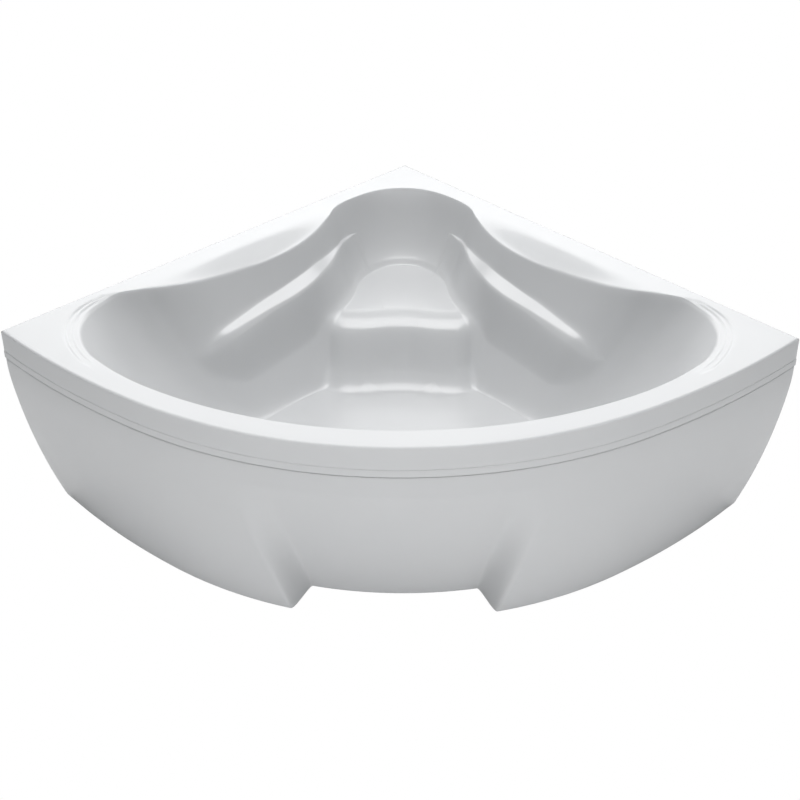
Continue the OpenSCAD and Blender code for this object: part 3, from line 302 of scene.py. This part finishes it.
# One fine grid of the shell's upper face: spokes by rings, from the band's lower edge inward
def upper_grid(i):
    c = i[:, 0]
    strip_end = STRIP_Z + 2
    rows = [band(c, 0, flare(BAND_Z) - STRIP_STEP, BAND_Z),
            band(c, 0, flare(STRIP_Z) - STRIP_STEP, STRIP_Z),
            band(c, 0, flare(strip_end), strip_end),
            band(c, 0, flare(BAND_MID_Z), BAND_MID_Z)]
    for turn in (0, 15, 30, 45, 60, 75, 90):
        g = math.radians(turn)
        inset = EDGE_R - EDGE_R * math.cos(g)
        rows.append(band(c, inset, inset, RIM - EDGE_R + EDGE_R * math.sin(g)))
    for q in (0.93, 0.84, 0.74, 0.63, 0.52, 0.41, 0.3, 0.2, 0.1):
        rows.append(deck(c, np.full(len(c), 40.0), np.full(len(c), q)))
    for t in (40, 38, 36, 34, 32, 29, 26, 24, 22, 20, 18, 16, 13, 10, 7.5, 5, 3, 1.5):
        rows.append(deck(c, np.full(len(c), float(t)), np.zeros(len(c))))
    f = smooth(FLOOR_KNOTS, c)
    # The fine rings end past the floor's edge, beyond the seat's foot
    end = 1.22 + np.maximum(0, f[:, 1] - SEAT_Y) / np.maximum(f[:, 1] - FLOOR_MID[1], 1)
    steps = np.linspace(0, 1, SAMPLES)
    s = end[:, None] * steps
    p = basin(np.broadcast_to(i, s.shape), s)
    step = np.diff(p, axis=1)
    size = np.linalg.norm(step, axis=-1)
    way = step / np.maximum(size, 1e-9)[..., None]
    turn = np.arccos(np.clip((way[:, 1:] * way[:, :-1]).sum(-1), -1, 1))
    turn = np.concatenate([np.zeros((len(c), 1)), turn], 1)
    weight = np.concatenate([np.zeros((len(c), 1)), np.cumsum(size + TURN_MM * turn, 1)], 1)
    for r in range(WALL_RINGS):
        want = weight[:, -1] * r / (WALL_RINGS - 1)
        s_r = np.array([np.interp(w, ws, ss) for w, ws, ss in zip(want, weight, s)])
        rows.append(basin(c, s_r))
    for q in np.linspace(0, 0.98, MIDDLE_RINGS + 1)[1:]:
        rows.append(basin(c, lerp(end, 2.0, q)))
    return np.stack(rows, 1)


def grid_normals(g):
    du = np.gradient(g, axis=0)
    dv = np.gradient(g, axis=1)
    n = np.cross(du, dv)
    n[[0, -1], :, 0] = 0
    n /= np.maximum(np.linalg.norm(n, axis=-1), 1e-9)[..., None]
    return np.where(n[..., 2:] < 0, -n, n)


def mirrored(g):
    return np.concatenate([g, g[-2:0:-1] * [-1, 1, 1]])


def mesh_object(name, points, faces, body="bath", slot=None):
    mesh = bpy.data.meshes.new(name)
    mesh.from_pydata([tuple(p) for p in points], [], faces)
    mesh.validate()
    mesh.update()
    obj = bpy.data.objects.new(name, mesh)
    bpy.context.scene.collection.objects.link(obj)
    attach(obj, body)
    return obj


def shade(obj, angle):
    obj.data.shade_smooth()
    obj.data.set_sharp_from_angle(angle=math.radians(angle))


def face_outward(obj):
    b = bmesh.new()
    b.from_mesh(obj.data)
    bmesh.ops.recalc_face_normals(b, faces=b.faces[:])
    b.to_mesh(obj.data)
    b.free()


# The whole shell; two extra spokes keep the corner between wall and front sharp
def tub_mesh():
    i = np.unique(np.concatenate([np.arange(0, 23.001, 0.125), [14.97, 15.03]]))[:, None]
    top = upper_grid(i)
    under = top - SHELL_T * grid_normals(top)
    c = i[:, 0]
    # The lower face: the band's inner side, the deck's underside, the basin's underside
    low = [band(c, SHELL_T, SHELL_T + flare(BAND_Z) - STRIP_STEP, BAND_Z),
           band(c, SHELL_T, SHELL_T + flare(STRIP_Z + 2), STRIP_Z + 2),
           band(c, SHELL_T, SHELL_T, RIM - SHELL_T - 2)]
    # Rings 13 to 17 lie on the flat deck; from ring 22 on the shell bends down into the basin
    for r in range(13, 18, 2):
        p = top[:, r].copy()
        p[:, 2] -= SHELL_T
        low.append(p)
    for r in range(22, top.shape[1], 2):
        p = under[:, r].copy()
        flat = ease(top[:, r, 2] - floor_z(top[:, r, 1]), 14, 3)
        p[:, 2] = lerp(p[:, 2], UNDER_Z, flat)
        low.append(p)
    low = np.stack(low, 1)
    top, low = mirrored(top), mirrored(low)
    spokes, mt, ml = len(top), top.shape[1], low.shape[1]
    base = spokes * mt
    mid = base + spokes * ml
    points = np.concatenate([top.reshape(-1, 3), low.reshape(-1, 3),
                             [[*FLOOR_MID, floor_z(FLOOR_MID[1])], [*FLOOR_MID, UNDER_Z]]])
    faces = []
    for j in range(spokes):
        a = (j + 1) % spokes
        for r in range(mt - 1):
            faces.append((j * mt + r, a * mt + r, a * mt + r + 1, j * mt + r + 1))
        for r in range(ml - 1):
            faces.append((base + j * ml + r, base + j * ml + r + 1,
                          base + a * ml + r + 1, base + a * ml + r))
        faces.append((j * mt, base + j * ml, base + a * ml, a * mt))
        faces.append((j * mt + mt - 1, a * mt + mt - 1, mid))
        faces.append((base + j * ml + ml - 1, mid + 1, base + a * ml + ml - 1))
    return points / 1000, faces


def cylinder(name, radius, low, high, place):
    middle = place @ Matrix.Translation((0, 0, (low + high) / 2))
    b = bmesh.new()
    bmesh.ops.create_cone(b, cap_ends=True, segments=96, radius1=radius, radius2=radius,
                          depth=high - low, matrix=middle)
    mesh = bpy.data.meshes.new(name)
    b.to_mesh(mesh)
    b.free()
    obj = bpy.data.objects.new(name, mesh)
    bpy.context.scene.collection.objects.link(obj)
    return obj


def cut(obj, tools):
    for tool in tools:
        m = obj.modifiers.new("cut", "BOOLEAN")
        m.operation = "DIFFERENCE"
        m.solver = "EXACT"
        m.object = tool
    bpy.context.view_layer.update()
    done = bpy.data.meshes.new_from_object(obj.evaluated_get(bpy.context.evaluated_depsgraph_get()))
    obj.modifiers.clear()
    obj.data = done
    for tool in tools:
        bpy.data.objects.remove(tool)


# The holes of the overflow and the drain, and the drain's round seat, in metres
HOLE_R = 0.026
DISH_R = 0.046
DISH_Z = 0.188
OVERFLOW_TILT = math.radians(11.4375)
OVERFLOW_MID = (0, -0.673179, 0.56)
OVERFLOW = Matrix.Translation(OVERFLOW_MID) @ Matrix.Rotation(OVERFLOW_TILT - math.pi / 2, 4, "X")
DRAIN = Matrix.Translation((0, DRAIN_Y / 1000, 0))

tub = mesh_object("acrylic_tub", *tub_mesh(), slot="acrylic")
face_outward(tub)
cut(tub, [cylinder("overflow_cut", HOLE_R, -0.03, 0.03, OVERFLOW),
          cylinder("drain_cut", HOLE_R, 0.15, 0.22, DRAIN),
          cylinder("dish_cut", DISH_R, DISH_Z, 0.22, DRAIN)])
shade(tub, 32)
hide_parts("tub_shell")


# Apron
APRON_TOP = 555
APRON_FOOT = 6
APRON_T = 5
BULGE_Z = 480
TOE_TOP = 490
TOE_HALF = 285
TOE_SET = 107
LEG_SET = 18
END_SET = 38
END_X = 1030
TOP_FLANGE = 24
LOW_FLANGE = 27
CORNER_R = 3
LEG_SLANT = 0.245
LEG_SOFT = 36
LEG_SOFT_GROWTH = 0.16


# How far the apron stands back from the rim's outline, without the toe recess and with it
def wing_set(x, z):
    g = np.clip((np.abs(x) - TOE_HALF) / (END_X - TOE_HALF), 0, 1)
    base = lerp(LEG_SET, END_SET, g * (0.55 + 0.45 * g))
    above = -BULGE + (BULGE - BAND_FLARE) * ((z - BULGE_Z) / (APRON_TOP - BULGE_Z)) ** 2
    below = -BULGE + (base + BULGE) * ((BULGE_Z - z) / (BULGE_Z - APRON_FOOT)) ** 2
    return np.where(z > BULGE_Z, above, below)


def apron_set(x, z):
    toe = -BULGE + (TOE_SET + BULGE) * np.maximum(TOE_TOP - z, 0) / (TOE_TOP - APRON_FOOT)
    end = TOE_HALF + LEG_SLANT * z
    start = end - (LEG_SOFT + LEG_SOFT_GROWTH * z)
    a = wing_set(x, z)
    return a + np.maximum(toe - a, 0) * (1 - ease(np.abs(x), start, end))


def apron_pt(x, d):
    a = abs(x)
    if a >= 1050:
        p = wall_pt(wall_end(2, d), 2)
    elif a <= JOIN_PT[0]:
        p = mid_pt(np.arcsin(a / FRONT_R), d)
    else:
        p = side_pt(np.arcsin((a - C2[0]) / SIDE_R), d)
    return np.array([np.sign(x) * p[0], p[1]])


# One closed section: top flange, front face, bottom flange, back face
def apron_section(x):
    def row(d, z):
        return [*apron_pt(x, d), z]

    def inner(z):
        g = (apron_set(x + 2, z) - apron_set(x - 2, z)) / 4
        return apron_set(x, z) + APRON_T * np.sqrt(1 + g * g)

    t = apron_set(x, APRON_TOP)
    zs = np.concatenate([np.linspace(548, BULGE_Z, 9), np.linspace(470, 25, 40), [18, 11]])
    rows = [row(t + TOP_FLANGE, APRON_TOP)]
    for turn in (90, 67, 45, 22, 0):
        g = math.radians(turn)
        z = APRON_TOP - CORNER_R + CORNER_R * math.sin(g)
        rows.append(row(apron_set(x, z) + CORNER_R - CORNER_R * math.cos(g), z))
    rows += [row(apron_set(x, z), z) for z in zs]
    inside_low = APRON_FOOT + APRON_T
    c = inner(inside_low)
    flange_end = c + LOW_FLANGE - APRON_T
    rows += [row(apron_set(x, APRON_FOOT + 1) + 0.3, APRON_FOOT + 1),
             row(apron_set(x, APRON_FOOT) + 1.2, APRON_FOOT), row(flange_end, APRON_FOOT),
             row(flange_end, inside_low), row(c, inside_low)]
    rows += [row(inner(z), z) for z in zs[::-3]]
    inside_top = APRON_TOP - APRON_T
    rows += [row(inner(inside_top), inside_top), row(t + TOP_FLANGE, inside_top)]
    return np.array(rows)


def apron_mesh():
    half = [0, 80, 150, 205, 235, 250, 262, 274, 286, 300, 318, 338, 360, 385, 415, 460, 520,
            580, 636, 700, 770, 840, 910, 970, 1020]
    fine = np.interp(np.arange(0, 24.01, 0.25), np.arange(25), half)
    right = [apron_section(x) for x in fine]
    end, last = right[-1], apron_section(1060)
    right += [lerp(end, last, q) for q in (0.25, 0.5, 0.75, 1)]
    left = [r * [-1, 1, 1] for r in right[:0:-1]]
    secs = np.array(left + right)
    n, m = secs.shape[:2]
    faces = [(j * m + r, (j + 1) * m + r, (j + 1) * m + (r + 1) % m, j * m + (r + 1) % m)
             for j in range(n - 1) for r in range(m)]
    faces += [tuple(range(m)), tuple((n - 1) * m + r for r in range(m - 1, -1, -1))]
    return secs.reshape(-1, 3) / 1000, faces


apron = mesh_object("acrylic_apron", *apron_mesh(), slot="acrylic")
face_outward(apron)
shade(apron, 35)
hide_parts("apron_panel")


# Materials
def material(name):
    m = bpy.data.materials.new(name)
    m.use_nodes = True
    return m, m.node_tree.nodes, m.node_tree.links, m.node_tree.nodes["Principled BSDF"]


def noise(nodes, links, scale, detail=3.0, rough=0.5):
    place = nodes.new("ShaderNodeTexCoord")
    tex = nodes.new("ShaderNodeTexNoise")
    tex.inputs["Scale"].default_value = scale
    tex.inputs["Detail"].default_value = detail
    tex.inputs["Roughness"].default_value = rough
    links.new(place.outputs["Object"], tex.inputs["Vector"])
    return tex.outputs["Fac"]


def ramp(nodes, links, fac, stops):
    r = nodes.new("ShaderNodeValToRGB")
    r.color_ramp.elements[0].position = stops[0][0]
    r.color_ramp.elements[0].color = (*stops[0][1], 1)
    r.color_ramp.elements[1].position = stops[-1][0]
    r.color_ramp.elements[1].color = (*stops[-1][1], 1)
    for pos, col in stops[1:-1]:
        r.color_ramp.elements.new(pos).color = (*col, 1)
    links.new(fac, r.inputs["Fac"])
    return r.outputs["Color"]


def spread(nodes, links, fac, low, high, start=0.3, stop=0.7):
    r = nodes.new("ShaderNodeMapRange")
    r.inputs["From Min"].default_value = start
    r.inputs["From Max"].default_value = stop
    r.inputs["To Min"].default_value = low
    r.inputs["To Max"].default_value = high
    links.new(fac, r.inputs["Value"])
    return r.outputs["Result"]


def bump(nodes, links, height, strength, distance, under=None):
    b = nodes.new("ShaderNodeBump")
    b.inputs["Strength"].default_value = strength
    b.inputs["Distance"].default_value = distance
    links.new(height, b.inputs["Height"])
    if under:
        links.new(under, b.inputs["Normal"])
    return b.outputs["Normal"]


def acrylic():
    m, nodes, links, p = material("sanitary_acrylic")
    p.inputs["Specular IOR Level"].default_value = 0.5
    p.inputs["IOR"].default_value = 1.49
    p.inputs["Coat Weight"].default_value = 0.25
    p.inputs["Coat Roughness"].default_value = 0.12
    tint = ramp(nodes, links, noise(nodes, links, 2.2, 2),
                [(0.3, (0.545, 0.552, 0.56)), (0.7, (0.562, 0.568, 0.574))])
    links.new(tint, p.inputs["Base Color"])
    gloss = spread(nodes, links, noise(nodes, links, 9, 4), 0.29, 0.36)
    links.new(gloss, p.inputs["Roughness"])
    fine = noise(nodes, links, 420, 2)
    wave = noise(nodes, links, 7, 1)
    normal = bump(nodes, links, wave, 0.12, 0.004)
    links.new(bump(nodes, links, fine, 0.03, 0.0004, normal), p.inputs["Normal"])
    return m


def metal(name, colour, rough, scratch, dull):
    m, nodes, links, p = material(name)
    p.inputs["Metallic"].default_value = 1
    dark = tuple(c * 0.86 for c in colour)
    links.new(ramp(nodes, links, noise(nodes, links, 26, 5, 0.6), [(0.3, dark), (0.68, colour)]),
              p.inputs["Base Color"])
    links.new(spread(nodes, links, noise(nodes, links, 90, 4, 0.6), rough, rough + dull),
              p.inputs["Roughness"])
    links.new(bump(nodes, links, noise(nodes, links, 600, 2), scratch, 0.0003),
              p.inputs["Normal"])
    return m


def zinc_tube():
    m, nodes, links, p = material("galvanised_tube")
    p.inputs["Metallic"].default_value = 1
    cells = nodes.new("ShaderNodeTexVoronoi")
    cells.inputs["Scale"].default_value = 130
    place = nodes.new("ShaderNodeTexCoord")
    links.new(place.outputs["Object"], cells.inputs["Vector"])
    grey = nodes.new("ShaderNodeRGBToBW")
    links.new(cells.outputs["Color"], grey.inputs["Color"])
    links.new(ramp(nodes, links, grey.outputs["Val"],
                   [(0.1, (0.4, 0.42, 0.44)), (0.9, (0.62, 0.64, 0.66))]),
              p.inputs["Base Color"])
    links.new(spread(nodes, links, grey.outputs["Val"], 0.3, 0.5, 0.1, 0.9), p.inputs["Roughness"])
    links.new(bump(nodes, links, noise(nodes, links, 40, 3), 0.15, 0.001), p.inputs["Normal"])
    return m


def plastic(name, colour, rough, grain):
    m, nodes, links, p = material(name)
    light = tuple(min(1, c * 1.12 + 0.004) for c in colour)
    links.new(ramp(nodes, links, noise(nodes, links, 18, 4), [(0.3, colour), (0.7, light)]),
              p.inputs["Base Color"])
    links.new(spread(nodes, links, noise(nodes, links, 60, 3), rough, rough + 0.14),
              p.inputs["Roughness"])
    links.new(bump(nodes, links, noise(nodes, links, 380, 3), grain, 0.0004), p.inputs["Normal"])
    return m


def timber():
    m, nodes, links, p = material("planed_softwood")
    rings = nodes.new("ShaderNodeTexWave")
    rings.wave_type = "RINGS"
    rings.rings_direction = "X"
    rings.inputs["Scale"].default_value = 22
    rings.inputs["Distortion"].default_value = 5
    rings.inputs["Detail"].default_value = 3
    rings.inputs["Detail Scale"].default_value = 1.2
    place = nodes.new("ShaderNodeTexCoord")
    mapping = nodes.new("ShaderNodeMapping")
    mapping.inputs["Scale"].default_value = (0.5, 1, 3)
    links.new(place.outputs["Object"], mapping.inputs["Vector"])
    links.new(mapping.outputs["Vector"], rings.inputs["Vector"])
    links.new(ramp(nodes, links, rings.outputs["Fac"],
                   [(0.0, (0.42, 0.26, 0.13)), (0.35, (0.56, 0.38, 0.2)),
                    (1.0, (0.66, 0.48, 0.28))]),
              p.inputs["Base Color"])
    links.new(spread(nodes, links, rings.outputs["Fac"], 0.62, 0.5, 0, 1), p.inputs["Roughness"])
    links.new(bump(nodes, links, rings.outputs["Fac"], 0.25, 0.0006), p.inputs["Normal"])
    return m


def pressed_board():
    m, nodes, links, p = material("pressed_board")
    chips = nodes.new("ShaderNodeTexVoronoi")
    chips.inputs["Scale"].default_value = 210
    place = nodes.new("ShaderNodeTexCoord")
    mapping = nodes.new("ShaderNodeMapping")
    mapping.inputs["Scale"].default_value = (1, 0.45, 1)
    links.new(place.outputs["Object"], mapping.inputs["Vector"])
    links.new(mapping.outputs["Vector"], chips.inputs["Vector"])
    grey = nodes.new("ShaderNodeRGBToBW")
    links.new(chips.outputs["Color"], grey.inputs["Color"])
    links.new(ramp(nodes, links, grey.outputs["Val"],
                   [(0.1, (0.33, 0.21, 0.11)), (0.5, (0.52, 0.36, 0.2)), (0.9, (0.66, 0.5, 0.31))]),
              p.inputs["Base Color"])
    p.inputs["Roughness"].default_value = 0.68
    links.new(bump(nodes, links, grey.outputs["Val"], 0.3, 0.0005), p.inputs["Normal"])
    return m


PAINT = {
    "acrylic": acrylic(),
    "board": pressed_board(),
    "timber": timber(),
    "frame_steel": zinc_tube(),
    "zinc": metal("bright_zinc", (0.66, 0.67, 0.69), 0.24, 0.08, 0.12),
    "screws": metal("yellow_zinc", (0.72, 0.58, 0.3), 0.28, 0.06, 0.12),
    "foot_plastic": plastic("black_plastic", (0.022, 0.022, 0.024), 0.42, 0.16),
    "polished_metal": metal("polished_chrome", (0.86, 0.87, 0.88), 0.05, 0.01, 0.05),
    "seal_rubber": plastic("soft_rubber", (0.016, 0.016, 0.016), 0.66, 0.1),
    "pipe_plastic": plastic("white_pipe_plastic", (0.72, 0.72, 0.7), 0.32, 0.06),
    "hose_plastic": plastic("flexible_hose_plastic", (0.52, 0.53, 0.54), 0.4, 0.1),
    "cable_sheath": plastic("cable_sheath", (0.045, 0.045, 0.048), 0.46, 0.14),
}
for part in frame["record"]["subparts"]:
    node = NODES[part["node"]]
    node.data.materials.clear()
    node.data.materials.append(PAINT[part["material_slot"]])
    shade(node, 28)
for obj in (tub, apron):
    obj.data.materials.clear()
    obj.data.materials.append(PAINT["acrylic"])


# Floor and background: plain white where the camera sees them
def floor_material():
    m, nodes, links, p = material("pale_floor")
    p.inputs["Roughness"].default_value = 0.6
    links.new(ramp(nodes, links, noise(nodes, links, 3, 3),
                   [(0.3, (0.78, 0.78, 0.78)), (0.7, (0.8, 0.8, 0.8))]),
              p.inputs["Base Color"])
    path = nodes.new("ShaderNodeLightPath")
    white = nodes.new("ShaderNodeEmission")
    mix = nodes.new("ShaderNodeMixShader")
    links.new(path.outputs["Is Camera Ray"], mix.inputs["Fac"])
    links.new(p.outputs["BSDF"], mix.inputs[1])
    links.new(white.outputs["Emission"], mix.inputs[2])
    links.new(mix.outputs["Shader"], nodes["Material Output"].inputs["Surface"])
    return m


REACH = 9
FLOOR_Z = -0.0005
corners = [(-REACH, -REACH), (REACH, -REACH), (REACH, REACH), (-REACH, REACH)]
floor_mesh = bpy.data.meshes.new("floor")
floor_mesh.from_pydata([(x, y, FLOOR_Z) for x, y in corners], [], [(0, 1, 2, 3)])
floor = bpy.data.objects.new("floor", floor_mesh)
bpy.context.scene.collection.objects.link(floor)
floor.data.materials.append(floor_material())

world = bpy.data.worlds.new("studio")
bpy.context.scene.world = world
world.use_nodes = True
wn, wl = world.node_tree.nodes, world.node_tree.links
back = wn["Background"]
back.inputs["Color"].default_value = (0.93, 0.965, 1, 1)
back.inputs["Strength"].default_value = 0.14
seen = wn.new("ShaderNodeBackground")
seen.inputs["Color"].default_value = (1, 1, 1, 1)
seen.inputs["Strength"].default_value = 1
path = wn.new("ShaderNodeLightPath")
mix = wn.new("ShaderNodeMixShader")
wl.new(path.outputs["Is Camera Ray"], mix.inputs["Fac"])
wl.new(back.outputs["Background"], mix.inputs[1])
wl.new(seen.outputs["Background"], mix.inputs[2])
wl.new(mix.outputs["Shader"], wn["World Output"].inputs["Surface"])


def area_light(name, place, aim, width, height, power):
    data = bpy.data.lights.new(name, "AREA")
    data.energy = power
    data.shape = "RECTANGLE"
    data.size = width
    data.size_y = height
    obj = bpy.data.objects.new(name, data)
    bpy.context.scene.collection.objects.link(obj)
    obj.location = place
    obj.rotation_euler = (Vector(aim) - Vector(place)).to_track_quat("-Z", "Y").to_euler()


# A box light overhead, a wide one behind the walls for the deck's sheen, a low strip for the apron
area_light("overhead", (0, -0.2, 3.2), (0, -0.2, 0.4), 2.6, 1.8, 84)
area_light("back_wall", (0, 4.6, 3.6), (0, 0, 0.5), 9.0, 3.4, 250)
area_light("front_low", (0.2, -3.6, 0.45), (0, 0, 0.4), 9.0, 0.7, 99)


# Camera, from the photograph's perspective; distances are in half widths of the bath
AZ = math.radians(1.69615)
EL = math.radians(38.4919)
ROLL = math.radians(-0.42269)
AIM_RIGHT = 0.00834807
AIM_DOWN = 0.16436792
AWAY = 2.3258903
LENS_MM = 41.85
SENSOR_MM = 36
to_camera = Vector((math.sin(AZ) * math.cos(EL), -math.cos(AZ) * math.cos(EL), math.sin(EL)))
right = Vector((math.cos(AZ), math.sin(AZ), 0))
up = to_camera.cross(right)
right_rolled = math.cos(ROLL) * right + math.sin(ROLL) * up
up_rolled = -math.sin(ROLL) * right + math.cos(ROLL) * up
origin = Vector((0, (CORNER_Y - HALF_W) / 1000, RIM / 1000))
unit_m = HALF_W / 1000
place = origin + unit_m * (AIM_RIGHT * right - AIM_DOWN * up + AWAY * to_camera)
camera_data = bpy.data.cameras.new("camera")
camera_data.sensor_width = SENSOR_MM
camera_data.lens = LENS_MM
camera = bpy.data.objects.new("camera", camera_data)
bpy.context.scene.collection.objects.link(camera)
camera.matrix_world = Matrix((
    (right_rolled.x, up_rolled.x, to_camera.x, place.x),
    (right_rolled.y, up_rolled.y, to_camera.y, place.y),
    (right_rolled.z, up_rolled.z, to_camera.z, place.z),
    (0, 0, 0, 1)))
bpy.context.scene.camera = camera
bpy.context.scene.view_settings.view_transform = "Standard"
